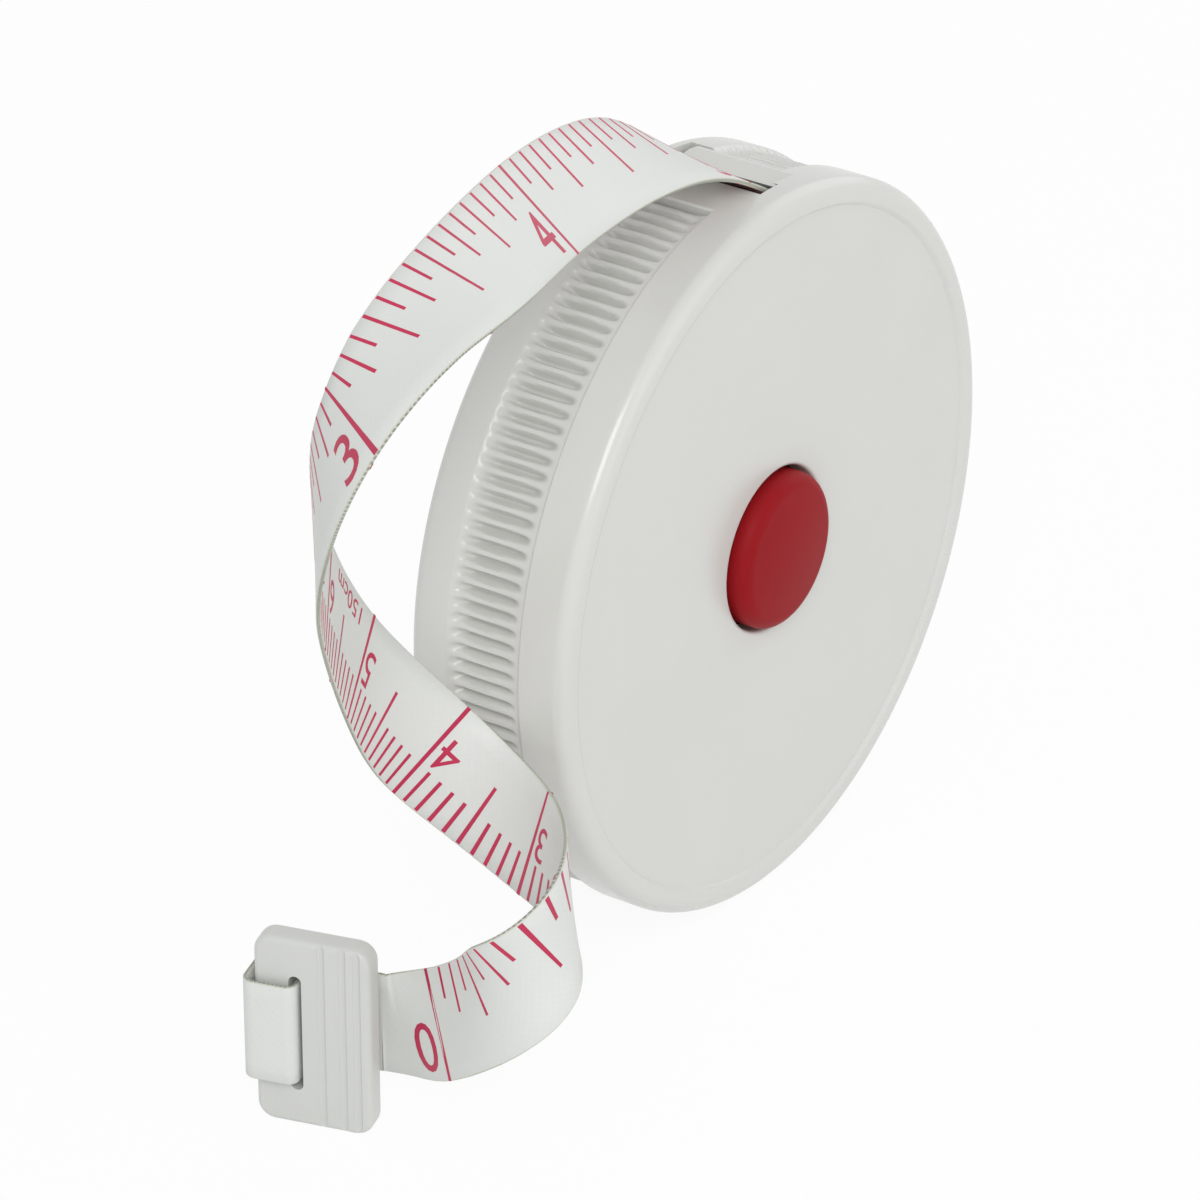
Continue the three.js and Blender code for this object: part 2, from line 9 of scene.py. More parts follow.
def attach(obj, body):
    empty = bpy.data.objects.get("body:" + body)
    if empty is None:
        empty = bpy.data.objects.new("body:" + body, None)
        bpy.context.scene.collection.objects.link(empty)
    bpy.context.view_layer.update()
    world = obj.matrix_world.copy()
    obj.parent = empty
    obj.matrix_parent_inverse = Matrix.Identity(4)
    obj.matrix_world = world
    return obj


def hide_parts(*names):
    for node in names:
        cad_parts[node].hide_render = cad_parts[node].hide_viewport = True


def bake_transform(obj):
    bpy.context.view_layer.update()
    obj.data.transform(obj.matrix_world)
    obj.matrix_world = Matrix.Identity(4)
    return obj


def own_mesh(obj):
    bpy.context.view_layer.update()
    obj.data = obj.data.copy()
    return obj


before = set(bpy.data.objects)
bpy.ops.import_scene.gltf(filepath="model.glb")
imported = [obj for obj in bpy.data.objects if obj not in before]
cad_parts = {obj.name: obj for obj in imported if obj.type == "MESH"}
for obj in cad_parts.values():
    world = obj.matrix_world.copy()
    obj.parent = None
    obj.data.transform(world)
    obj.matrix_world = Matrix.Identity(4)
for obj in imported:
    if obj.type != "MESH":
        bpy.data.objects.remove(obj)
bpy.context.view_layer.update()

scene = bpy.context.scene


# Camera: a long lens looks down on the button side from the left, where the loop of the tape
# opens. Sizes in this script are in millimetres, and mm turns them into Blender's metres.
mm = 0.001
camera_azimuth = math.radians(-56)
camera_elevation = math.radians(29)
camera_lens = 200
camera_sensor = 36
picture_width = 78.43
face_centre = Vector((0, -11, 0))
picture_shift = (-10.88, -3.53)

view_right = Vector((math.cos(camera_azimuth), math.sin(camera_azimuth), 0))
view_back = Vector((
    math.sin(camera_azimuth) * math.cos(camera_elevation),
    -math.cos(camera_azimuth) * math.cos(camera_elevation),
    math.sin(camera_elevation),
))
view_up = view_back.cross(view_right)
camera_distance = picture_width * camera_lens / camera_sensor
camera_target = face_centre + view_right * picture_shift[0] + view_up * picture_shift[1]
camera_place = camera_target + view_back * camera_distance

camera = bpy.data.objects.new("camera", bpy.data.cameras.new("camera"))
camera.data.lens = camera_lens
camera.data.sensor_width = camera_sensor
camera.matrix_world = Matrix.Translation(camera_place * mm) @ Matrix(
    (view_right, view_up, view_back)).transposed().to_4x4()
scene.collection.objects.link(camera)
scene.camera = camera


# Back cover: a cup moulded in white plastic, with a smooth rounded back rim, a grip band of
# flutes that fade out at both ends, the reel's post inside, and a tongue the front cover fits on.
case_radius = 25
back_wall = 1.2
back_rounding = 1
back_face_ring = 12
flute_depth = 0.8
cavity_radius = 23
tongue_radius = 23.8
tongue_front = -9.2
tongue_edge = 0.1
band_front = -8.44
post_radius = 2.2
post_front = -6.95
pilot_radius = 0.95
pilot_depth = 3
rib_count = 150
rib_phases = (0, 0, 0.3, 0.95, 1, 0.95, 0.3, 0)
flute_sharp_angle = 62
notch_low = (-3.3, -11, 21)
notch_high = (5.6, -1.3, 27)

white_plastic_colour = (0.66, 0.665, 0.635, 1)


def section_group(name, inputs, outputs):
    """A shader node group with float and colour sockets; returns it with its end nodes."""
    group = bpy.data.node_groups.new(name, "ShaderNodeTree")
    for socket_name, kind, value in inputs:
        socket = group.interface.new_socket(socket_name, in_out="INPUT", socket_type=kind)
        socket.default_value = value
    for socket_name, kind in outputs:
        group.interface.new_socket(socket_name, in_out="OUTPUT", socket_type=kind)
    return group, group.nodes.new("NodeGroupInput"), group.nodes.new("NodeGroupOutput")


def add_node(tree, kind, settings=(), **values):
    """A node with its settings and the values or links of its input sockets, by name."""
    node = tree.nodes.new(kind)
    for setting, value in dict(settings).items():
        setattr(node, setting, value)
    for socket_name, value in values.items():
        socket = node.inputs[socket_name.replace("_", " ")]
        if isinstance(value, bpy.types.NodeSocket):
            tree.links.new(value, socket)
        else:
            socket.default_value = value
    return node


def math_node(tree, operation, first, second=0.0):
    """The result of a Math node on two values or links."""
    node = tree.nodes.new("ShaderNodeMath")
    node.operation = operation
    for socket, value in zip(node.inputs, (first, second)):
        if isinstance(value, bpy.types.NodeSocket):
            tree.links.new(value, socket)
        else:
            socket.default_value = value
    return node.outputs[0]


def shaded(tree, colour, mask, change):
    """The colour made lighter or darker where the mask is above or below a half."""
    away = math_node(tree, "SUBTRACT", mask, 0.5)
    level = math_node(tree, "ADD", math_node(tree, "MULTIPLY", away, change), 1.0)
    scaled = add_node(tree, "ShaderNodeVectorMath", {"operation": "SCALE"}, Scale=level)
    tree.links.new(colour, scaled.inputs[0])
    return scaled.outputs[0]


float_kind, colour_kind = "NodeSocketFloat", "NodeSocketColor"
moulded_surface, group_in, group_out = section_group(
    "moulded_surface",
    [
        ("Colour", colour_kind, white_plastic_colour),
        ("Mottle", float_kind, 0.03),
        ("Roughness", float_kind, 0.35),
        ("Flow marks", float_kind, 0.1),
    ],
    [("Colour", colour_kind), ("Roughness", float_kind), ("Height", float_kind)],
)
place = add_node(moulded_surface, "ShaderNodeTexCoord").outputs["Object"]
flow = add_node(moulded_surface, "ShaderNodeTexNoise", Vector=place, Scale=110, Detail=3)
skin = add_node(moulded_surface, "ShaderNodeTexNoise", Vector=place, Scale=900, Detail=2)
grain = add_node(moulded_surface, "ShaderNodeTexNoise", Vector=place, Scale=5200, Detail=1)
moulded_surface.links.new(
    shaded(moulded_surface, group_in.outputs["Colour"], flow.outputs[0],
           group_in.outputs["Mottle"]),
    group_out.inputs["Colour"])
flow_share = math_node(moulded_surface, "MULTIPLY",
                       math_node(moulded_surface, "SUBTRACT", flow.outputs[0], 0.5),
                       group_in.outputs["Flow marks"])
moulded_surface.links.new(
    math_node(moulded_surface, "ADD", group_in.outputs["Roughness"], flow_share),
    group_out.inputs["Roughness"])
moulded_surface.links.new(
    math_node(moulded_surface, "ADD", skin.outputs[0],
              math_node(moulded_surface, "MULTIPLY", grain.outputs[0], 0.35)),
    group_out.inputs["Height"])


def plain_material(name):
    """A material with a Principled shader, its node tree and that shader."""
    material = bpy.data.materials.new(name)
    material.use_nodes = True
    return material, material.node_tree, material.node_tree.nodes["Principled BSDF"]


def surface_material(name, group, bump_depth, **values):
    """A material that takes its colour, its roughness and, where it has a depth, its bump from a
    node group with these values."""
    material, tree, principled = plain_material(name)
    surface = add_node(tree, "ShaderNodeGroup", {"node_tree": group}, **values)
    tree.links.new(surface.outputs["Colour"], principled.inputs["Base Color"])
    tree.links.new(surface.outputs["Roughness"], principled.inputs["Roughness"])
    if bump_depth:
        bump = add_node(tree, "ShaderNodeBump", Strength=1.0, Distance=bump_depth * mm,
                        Height=surface.outputs["Height"])
        tree.links.new(bump.outputs["Normal"], principled.inputs["Normal"])
    return material


def moulded_plastic(name, colour, roughness, mottle, flow_marks, skin_depth):
    """Moulded plastic with faint flow marks and a fine orange-peel skin."""
    return surface_material(name, moulded_surface, skin_depth, Colour=colour, Mottle=mottle,
                            Roughness=roughness, Flow_marks=flow_marks)


def smooth_piece(piece, sharp_angle):
    """Turns the faces outward, and shades them smooth except over edges sharper than this."""
    body = bmesh.new()
    body.from_mesh(piece.data)
    bmesh.ops.recalc_face_normals(body, faces=body.faces)
    body.to_mesh(piece.data)
    body.free()
    piece.data.shade_smooth()
    piece.data.set_sharp_from_angle(angle=math.radians(sharp_angle))


def new_piece(name, points, faces, materials, sharp_angle=35):
    """A closed piece from points in millimetres."""
    mesh = bpy.data.meshes.new(name)
    mesh.from_pydata([[value * mm for value in point] for point in points], [], faces)
    for material in materials:
        mesh.materials.append(material)
    piece = bpy.data.objects.new(name, mesh)
    scene.collection.objects.link(piece)
    smooth_piece(piece, sharp_angle)
    return piece


def turned(profile, steps, radius_at=None):
    """Points and faces of a profile of (radius, y) pairs turned about the disc axis. It is closed
    at the axis where its ends lie on it, and into a ring otherwise."""
    points, faces, rows = [], [], []
    for place_on_profile, (radius, y) in enumerate(profile):
        if radius == 0:
            rows.append([len(points)] * steps)
            points.append((0, y, 0))
            continue
        rows.append(list(range(len(points), len(points) + steps)))
        for step in range(steps):
            here = radius_at(place_on_profile, step) if radius_at else radius
            angle = 2 * math.pi * step / steps
            points.append((here * math.cos(angle), y, here * math.sin(angle)))
    if profile[0][0] > 0:
        rows.append(rows[0])
    for low, high in zip(rows, rows[1:]):
        for step in range(steps):
            after = (step + 1) % steps
            face = [low[step], low[after], high[after], high[step]]
            faces.append(list(dict.fromkeys(face)))
    return points, faces


def arc(centre, radius, start, stop, steps):
    """Points of a rounded corner, from one angle to another in quarter turns."""
    angles = [math.pi / 2 * (start + (stop - start) * k / steps) for k in range(steps + 1)]
    return [(centre[0] + radius * math.cos(a), centre[1] + radius * math.sin(a)) for a in angles]


def box_body(low, high):
    """Points and faces of a block, used as a cutter."""
    corners = [(x, y, z) for x in (low[0], high[0]) for y in (low[1], high[1])
               for z in (low[2], high[2])]
    faces = [(0, 1, 3, 2), (4, 6, 7, 5), (0, 4, 5, 1), (2, 3, 7, 6), (0, 2, 6, 4), (1, 5, 7, 3)]
    return corners, faces


def combine(piece, points, faces, operation, sharp_angle=35):
    """Joins a body to a piece or cuts it out of it, and keeps the result as the piece's mesh."""
    tool = new_piece("tool", points, faces, piece.data.materials)
    change = piece.modifiers.new("combine", "BOOLEAN")
    change.operation = operation
    change.solver = "EXACT"
    change.object = tool
    result = bpy.data.meshes.new_from_object(
        piece.evaluated_get(bpy.context.evaluated_depsgraph_get()))
    piece.modifiers.clear()
    old = piece.data
    piece.data = result
    result.name = piece.name
    bpy.data.meshes.remove(old)
    bpy.data.objects.remove(tool)
    smooth_piece(piece, sharp_angle)


case_plastic = moulded_plastic("white_case_plastic", white_plastic_colour, roughness=0.22,
                               mottle=0.05, flow_marks=0.1, skin_depth=0.002)

# Grip band rows from the back rim to the seam: y, radius at the crests and share of flute depth
band_rows = (
    (-2.8, case_radius, 0), (-2.95, 24.96, 0), (-3.1, 24.86, 0.04), (-3.3, 24.74, 0.2),
    (-3.55, 24.67, 0.5), (-3.85, 24.65, 0.82), (-4.2, 24.65, 1), (-5, 24.65, 1),
    (-6, 24.65, 1), (-6.8, 24.65, 1), (-7.1, 24.65, 0.88), (-7.4, 24.65, 0.6),
    (-7.7, 24.66, 0.28), (-7.95, 24.68, 0.07), (-8.15, 24.7, 0), (band_front + 0.08, 24.7, 0),
    (band_front, 24.62, 0),
)
back_profile = [(0, 0), (back_face_ring, 0)]
back_profile += arc((case_radius - back_rounding, -back_rounding), back_rounding, 1, 0, 8)
band_start = len(back_profile)
back_profile += [(radius, y) for y, radius, _ in band_rows]
band_end = len(back_profile)
back_profile += [
    (tongue_radius, band_front), (tongue_radius, tongue_front + tongue_edge),
    (tongue_radius - tongue_edge, tongue_front), (cavity_radius, tongue_front),
    (cavity_radius, -back_wall), (post_radius, -back_wall), (post_radius, post_front),
    (pilot_radius, post_front), (pilot_radius, post_front + pilot_depth),
    (0, post_front + pilot_depth),
]


def back_radius(row, step):
    """The back cover's radius, less the flutes where the row is in the grip band."""
    radius = back_profile[row][0]
    if band_start <= row < band_end:
        radius -= flute_depth * band_rows[row - band_start][2] * rib_phases[step % len(rib_phases)]
    return radius


back_cover = new_piece(
    "back_cover_shell",
    *turned(back_profile, rib_count * len(rib_phases), back_radius),
    [case_plastic], flute_sharp_angle)
combine(back_cover, *box_body(notch_low, notch_high), "DIFFERENCE", flute_sharp_angle)
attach(back_cover, "case")
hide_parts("back_cover")


# Front cover: a moulded white disc with a shallow recess inside its ring line, a hole and guide
# for the button, a rim snapped over the tongue, and the block whose slot the tape leaves by.
face_plane = -11.7
front_plane = -12
face_inner = -10.7
front_rounding = 1
ring_line_radius = 23.1
ring_line_width = 0.3
ring_line_reach = 0.06
ring_line_bend = 0.04
ring_line_low = 0.02
ring_line_high = 0.03
seam_plane = -8.5
seam_edge = 0.06
rebate_radius = 24.1
rebate_plane = -9.5
hole_radius = 5.65
hole_rounding = 0.3
guide_radius = 6.5
guide_height = 0.7
front_steps = 320
mouth_left = -3
mouth_right = 5.3
mouth_back = -1.6
mouth_rounding = 0.6
mouth_edge = 0.12
mouth_overlap = 0.3
mouth_steps = 36
slot_centre = Vector((2.2, -5.95, 24.3))
run_direction = Vector((-0.783216, 0, 0.62175))
slot_half = 0.6
slot_front = -9.95
slot_cut_reach = 4
facet_edge = (5.02, 24.62)
facet_depth = 1.25
facet_front = -9.6
facet_cut_top = 27
facet_cut_reach = 3
cut_back = 1

front_profile = [
    (hole_radius + hole_rounding, face_plane),
    (ring_line_radius - ring_line_reach, face_plane),
    (ring_line_radius + ring_line_bend, face_plane - ring_line_low),
    (ring_line_radius + ring_line_width - ring_line_bend, front_plane + ring_line_high),
    (ring_line_radius + ring_line_width + ring_line_reach, front_plane),
]
front_profile += arc((case_radius - front_rounding, front_plane + front_rounding),
                     front_rounding, -1, 0, 10)
front_profile += [
    (case_radius, seam_plane - seam_edge), (case_radius - seam_edge, seam_plane),
    (rebate_radius, seam_plane), (rebate_radius, rebate_plane),
    (cavity_radius, rebate_plane), (cavity_radius, face_inner),
    (guide_radius, face_inner), (guide_radius, face_inner + guide_height),
    (hole_radius, face_inner + guide_height),
]
front_profile += arc((hole_radius + hole_rounding, face_plane + hole_rounding),
                     hole_rounding, 2, 3, 4)[:-1]
front_cover = new_piece("front_cover_shell", *turned(front_profile, front_steps), [case_plastic])


def row_faces(row_count, sides):
    """Faces of a body made of rows of points, with this many sides and both ends closed."""
    last = (row_count - 1) * sides
    faces = [tuple(range(sides)), tuple(range(last, last + sides))]
    for low in range(0, last, sides):
        high = low + sides
        for side in range(sides):
            after = (side + 1) % sides
            faces.append((low + side, low + after, high + after, high + side))
    return faces


def mouth_block():
    """A body under the rim's own curve, between two upright planes across the mouth."""
    front = rebate_plane - mouth_overlap
    outline = [(cavity_radius, front), (case_radius, front)]
    outline += arc((case_radius - mouth_rounding, mouth_back - mouth_rounding),
                   mouth_rounding, 0, 1, 5)
    outline += [(cavity_radius, mouth_back)]
    places = [(mouth_left, mouth_edge), (mouth_left + mouth_edge, 0)]
    places += [(mouth_left + (mouth_right - mouth_left) * k / mouth_steps, 0)
               for k in range(1, mouth_steps)]
    places += [(mouth_right - mouth_edge, 0), (mouth_right, mouth_edge)]
    points = [(x, y, math.sqrt((radius - inset * (radius > cavity_radius)) ** 2 - x * x))
              for x, inset in places for radius, y in outline]
    return points, row_faces(len(places), len(outline))


def prism(outline, low_y, high_y):
    """A body over an outline of (x, z) points, between two depths."""
    return [(x, y, z) for y in (low_y, high_y) for x, z in outline], row_faces(2, len(outline))


def on_run(out, aside):
    """A point (x, z) by the slot: how far out along the tape's run, and above its middle."""
    return (slot_centre.x + run_direction.x * out + run_direction.z * aside,
            slot_centre.z + run_direction.z * out - run_direction.x * aside)


combine(front_cover, *mouth_block(), "UNION")
combine(front_cover, *prism(
    [on_run(-slot_cut_reach, -slot_half), on_run(slot_cut_reach, -slot_half),
     on_run(slot_cut_reach, slot_half), on_run(-slot_cut_reach, slot_half)],
    slot_front, cut_back), "DIFFERENCE")
combine(front_cover, *prism(
    [on_run(-facet_depth, 0), on_run(-facet_depth, slot_half), facet_edge,
     (facet_edge[0], facet_cut_top), on_run(facet_cut_reach, 0)],
    facet_front, cut_back), "DIFFERENCE")
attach(front_cover, "case")
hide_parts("front_cover")


# Push button: a red plastic cap, slightly crowned, moulded in one with the skirt that slides in
# the cover's guide and the flange that presses the brake ring on the reel.
button_radius = 5.35
button_crown = -13.2
button_rise = 0.3
button_rounding = 1.05
button_wall = 1.1
button_flange_radius = 7.6
button_flange_front = -9.05
button_flange_back = -8.55
button_steps = 144
crown_steps = 8
red_plastic_colour = (0.29, 0.007, 0.011, 1)
red_plastic_specular = 0.1

crown_radius = button_radius - button_rounding
button_profile = [
    (crown_radius * k / crown_steps, button_crown + button_rise * (k / crown_steps) ** 2)
    for k in range(crown_steps)]
button_profile += arc((crown_radius, button_crown + button_rise + button_rounding),
                      button_rounding, -1, 0, 8)
button_profile += [
    (button_radius, button_flange_front), (button_flange_radius, button_flange_front),
    (button_flange_radius, button_flange_back),
    (button_radius - button_wall, button_flange_back),
    (button_radius - button_wall, button_crown + button_wall), (0, button_crown + button_wall),
]
red_plastic = moulded_plastic("red_button_plastic", red_plastic_colour, roughness=0.5,
                              mottle=0.12, flow_marks=0.12, skin_depth=0.006)
principled = red_plastic.node_tree.nodes["Principled BSDF"]
principled.inputs["Specular IOR Level"].default_value = red_plastic_specular
button = new_piece("button_cap", *turned(button_profile, button_steps), [red_plastic])
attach(button, "button")
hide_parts("push_button")


# Tape: woven cloth coated white on both sides and cut 7.2 mm wide, so its edges show the bare
# weave. It runs straight from the winding out of the slot, and loops down to the tab.
tape_half = 3.6
tape_rise = 0.15
tape_edge_cut = 0.06
tape_column = 1.2
tape_sharp_angle = 50
cloth_scale = 0.005
cloth_back_offset = 10
tab_heading = math.radians(-75)
tab_along = Vector((math.cos(tab_heading), math.sin(tab_heading), 0))
tab_through = Vector((-math.sin(tab_heading), math.cos(tab_heading), 0))
tab_hinge = Vector((-38.2, -5.9, -18.2))
hinge_reach = 1.1
first_gap = 0.2
tab_guide = 2.4
mouth_guide = 7.2
knot_steps = 16
winding_end = Vector((12.687, -5.95, 15.975))
winding_gap = 0.3
tape_colour = (0.715, 0.73, 0.705, 1)
bare_edge_colour = (0.62, 0.64, 0.55, 1)

# How far past the hinge the tape's first knot lies. Lengths along the tape count from there.
first_knot = 0.2

# Rows of the low part whose bends are evened out, how often, and how fast that span narrows
even_rows = (20, 190)
even_sweeps = 160
even_taper = 6

# Middle of the tape from the mouth down to the tab, then the direction across it
tape_route = (
    (-3.875, -6.125, 28.5, 0.12, 0.97, 0.2),
    (-11.375, -7, 31.25, 0.3, 0.86, 0.4),
    (-22.25, -9, 33.125, 0.46, 0.74, 0.48),
    (-36, -12.625, 34.5, 0.46, 0.84, 0.3),
    (-43.5, -13.25, 33.25, 0.47, 0.86, 0.2),
    (-47.125, -12.125, 29.5, 0.56, 0.77, 0.3),
    (-46.625, -9.625, 23.875, 0.6, 0.6, 0.52),
    (-42, -5.875, 15.875, 0.57, 0.4, 0.72),
    (-35, -2.875, 5.625, 0.55, 0.27, 0.79),
    (-29.75, -3, -2, 0.43, 0.05, 0.9),
    (-27.25, -6.375, -6.25, 0.33, -0.25, 0.91),
    (-28.125, -11.625, -8, 0.25, -0.3, 0.92),
    (-32.625, -17.625, -6.875, -0.1, -0.1, 0.98),
    (-36, -20.125, -7, -0.3, 0, 0.95),
    (-39, -20.375, -8.375, -0.3, 0.08, 0.94),
    (-40.5, -18, -11.125, 0.05, 0.2, 0.98),
    (-39.25, -14.75, -14.25, 0.25, 0.2, 0.95),
    (-38, -11.375, -16.8, 0.2, 0.15, 0.97),
    (-37.6, -8.3, -18.1, 0, 0, 1),
)


def tape_row(middle, across, along):
    """A row (middle, direction across, direction through), with across set square to the line."""
    across = (across - along * across.dot(along)).normalized()
    return middle, across, along.cross(across)


def tape_line():
    """Rows of the free tape from beside the tab's hinge, through the mouth, to the winding."""
    across_mouth, upright = Vector((0, 1, 0)), Vector((0, 0, 1))
    start = tab_hinge + tab_along * first_knot
    knots = [(start - tab_along * tab_guide, upright), (start, upright)]
    knots += [(Vector(row[:3]), Vector(row[3:]).normalized()) for row in reversed(tape_route)]
    knots += [(slot_centre, across_mouth),
              (slot_centre - run_direction * mouth_guide, across_mouth)]
    rows = []
    for before, low, high, after in zip(knots, knots[1:], knots[2:], knots[3:]):
        for step in range(knot_steps):
            t = step / knot_steps
            weights = (-t ** 3 + 2 * t ** 2 - t, 3 * t ** 3 - 5 * t ** 2 + 2,
                       -3 * t ** 3 + 4 * t ** 2 + t, t ** 3 - t ** 2)
            slopes = (-3 * t ** 2 + 4 * t - 1, 9 * t ** 2 - 10 * t, -9 * t ** 2 + 8 * t + 1,
                      3 * t ** 2 - 2 * t)
            four = (before, low, high, after)
            middle = sum((knot[0] * w / 2 for knot, w in zip(four, weights)), Vector())
            across = sum((knot[1] * w / 2 for knot, w in zip(four, weights)), Vector())
            along = sum((knot[0] * w / 2 for knot, w in zip(four, slopes)), Vector()).normalized()
            rows.append(tape_row(middle, across, along))
    for sweep in range(even_sweeps):
        before = list(rows)
        for k in range(even_rows[0] + sweep // even_taper, even_rows[1] - sweep // even_taper):
            middle, across = ((before[k - 1][j] + before[k][j] * 2 + before[k + 1][j]) / 4
                              for j in (0, 1))
            rows[k] = tape_row(middle, across,
                               (before[k + 1][0] - before[k - 1][0]).normalized())
    inner = winding_end + run_direction * winding_gap
    for share in (0, 0.25, 0.5, 0.75, 1):
        rows.append((slot_centre.lerp(inner, share), across_mouth,
                     (-run_direction).cross(across_mouth)))
    first = rows[0]
    return [(first[0] + tab_along * (hinge_reach - first_knot), *first[1:])] + [
        row for row in rows if (row[0] - tab_hinge).length > hinge_reach + first_gap]


def strip(name, rows, materials, start_length=0.0):
    """A closed strip of tape along the rows. Its first material is on both faces and its second
    on the cut edges and ends; its UV map runs along and across the cloth."""
    edge = tape_half - tape_edge_cut
    columns = [-edge, *(tape_column * k for k in range(-2, 3)), edge]
    section = [(v, tape_rise) for v in columns]
    section += [(tape_half, tape_rise - tape_edge_cut), (tape_half, tape_edge_cut - tape_rise)]
    section += [(v, -tape_rise) for v in reversed(columns)]
    section += [(-tape_half, tape_edge_cut - tape_rise), (-tape_half, tape_rise - tape_edge_cut)]
    sides = len(section)
    points, lengths, length = [], [], start_length
    for number, (middle, across, through) in enumerate(rows):
        if number:
            length += (middle - rows[number - 1][0]).length
        lengths.append(length)
        points += [middle + across * v + through * h for v, h in section]
    piece = new_piece(name, points, row_faces(len(rows), sides), materials, tape_sharp_angle)
    mesh = piece.data
    along_cloth = mesh.uv_layers.new(name="cloth")
    for polygon in mesh.polygons:
        flat = {section[mesh.loops[loop].vertex_index % sides][1] for loop in
                polygon.loop_indices}
        polygon.material_index = 0 if flat in ({tape_rise}, {-tape_rise}) else 1
        for loop in polygon.loop_indices:
            vertex = mesh.loops[loop].vertex_index
            v, h = section[vertex % sides]
            aside = v + tape_half + cloth_back_offset * (h < 0)
            along_cloth.data[loop].uv = (lengths[vertex // sides] * cloth_scale,
                                         aside * cloth_scale)
    return piece


woven_cloth, group_in, group_out = section_group(
    "woven_cloth",
    [
        ("Colour", colour_kind, tape_colour),
        ("Threads", float_kind, 560),
        ("Thread shade", float_kind, 0.08),
        ("Roughness", float_kind, 0.5),
    ],
    [("Colour", colour_kind), ("Roughness", float_kind), ("Height", float_kind)],
)
cloth_place = add_node(woven_cloth, "ShaderNodeUVMap", {"uv_map": "cloth"}).outputs[0]
cloth_parts = add_node(woven_cloth, "ShaderNodeSeparateXYZ", Vector=cloth_place)
warp, weft = (
    math_node(woven_cloth, "SINE", math_node(
        woven_cloth, "MULTIPLY", cloth_parts.outputs[axis],
        math_node(woven_cloth, "MULTIPLY", group_in.outputs["Threads"], math.pi)))
    for axis in (0, 1))
over_and_under = math_node(woven_cloth, "MULTIPLY_ADD",
                           math_node(woven_cloth, "MULTIPLY", warp, weft), 0.5)
over_and_under.node.inputs[2].default_value = 0.5
place = add_node(woven_cloth, "ShaderNodeTexCoord").outputs["Object"]
slub = add_node(woven_cloth, "ShaderNodeTexNoise", Vector=place, Scale=420, Detail=4)
coat = add_node(woven_cloth, "ShaderNodeTexNoise", Vector=place, Scale=70, Detail=2)
thread_mask = math_node(woven_cloth, "ADD",
                        math_node(woven_cloth, "MULTIPLY", over_and_under, 0.5),
                        math_node(woven_cloth, "MULTIPLY", slub.outputs[0], 0.5))
woven_cloth.links.new(
    shaded(woven_cloth, group_in.outputs["Colour"], thread_mask, group_in.outputs["Thread shade"]),
    group_out.inputs["Colour"])
woven_cloth.links.new(
    math_node(woven_cloth, "ADD", group_in.outputs["Roughness"],
              math_node(woven_cloth, "MULTIPLY", coat.outputs[0], 0.15)),
    group_out.inputs["Roughness"])
woven_cloth.links.new(
    math_node(woven_cloth, "ADD", over_and_under,
              math_node(woven_cloth, "MULTIPLY", slub.outputs[0], 0.6)),
    group_out.inputs["Height"])


def cloth_material(name, colour, threads, thread_shade, roughness, thread_depth):
    """Woven cloth, coated or bare, with its weave in the bump."""
    return surface_material(name, woven_cloth, thread_depth, Colour=colour, Threads=threads,
                            Thread_shade=thread_shade, Roughness=roughness)


tape_materials = [
    cloth_material("coated_tape_cloth", tape_colour, threads=700, thread_shade=0.03,
                   roughness=0.42, thread_depth=0.005),
    cloth_material("bare_cloth_edge", bare_edge_colour, threads=700, thread_shade=0.3,
                   roughness=0.75, thread_depth=0.02),
]

tape_rows = tape_line()
free_tape = strip("free_tape_strip", tape_rows, tape_materials, hinge_reach - first_knot)
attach(free_tape, "tape")
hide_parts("free_tape")


# Printed scales: crimson ink on the cloth, inches in sixteenths on the outer face and
# centimetres in millimetres on the inner one. Each mark is a thin plate of ink on the weave.
inch_zero = 5.9
centimetre_zero = 1.4
line_width = 0.3
tick_width = 0.26
tick_margin = 0.1
inch = 25.4
sixteenth_lengths = {1: 2.0, 2: 3.1, 4: 4.0, 8: 4.75}
inch_figure_height = 3.25
inch_figure_margin = 0.6
figure_gap = 0.75
millimetre_length = 2.4
half_centimetre_length = 4.5
centimetre_figure_height = 2.3
centimetre_figure_gap = 0.45
centimetre_figure_margin = 2.1
length_mark_height = 1.15
length_mark_stretch = 1.39
length_mark_end = 57.4
length_mark_margin = 0.55
figure_step = 0.3
print_end_gap = 0.4
ink_low = tape_rise - 0.02
ink_high = tape_rise + 0.012
ink_colour = (0.50, 0.016, 0.075, 1)

row_lengths = [hinge_reach - first_knot]
for before, after in zip(tape_rows, tape_rows[1:]):
    row_lengths.append(row_lengths[-1] + (after[0] - before[0]).length)


def on_tape(length, across, rise):
    """The point this far along the tape, across it from its middle, and above its middle."""
    row = int(np.clip(np.searchsorted(row_lengths, length) - 1, 0, len(row_lengths) - 2))
    share = (length - row_lengths[row]) / (row_lengths[row + 1] - row_lengths[row])
    middle, aside, through = (
        tape_rows[row][k].lerp(tape_rows[row + 1][k], share) for k in range(3))
    return middle + aside * across + through * rise


def tick_body(start, width, low, high):
    """Points (along, across, rise) and faces of one straight mark across the tape."""
    return box_body((start - width / 2, low, ink_low), (start + width / 2, high, ink_high))


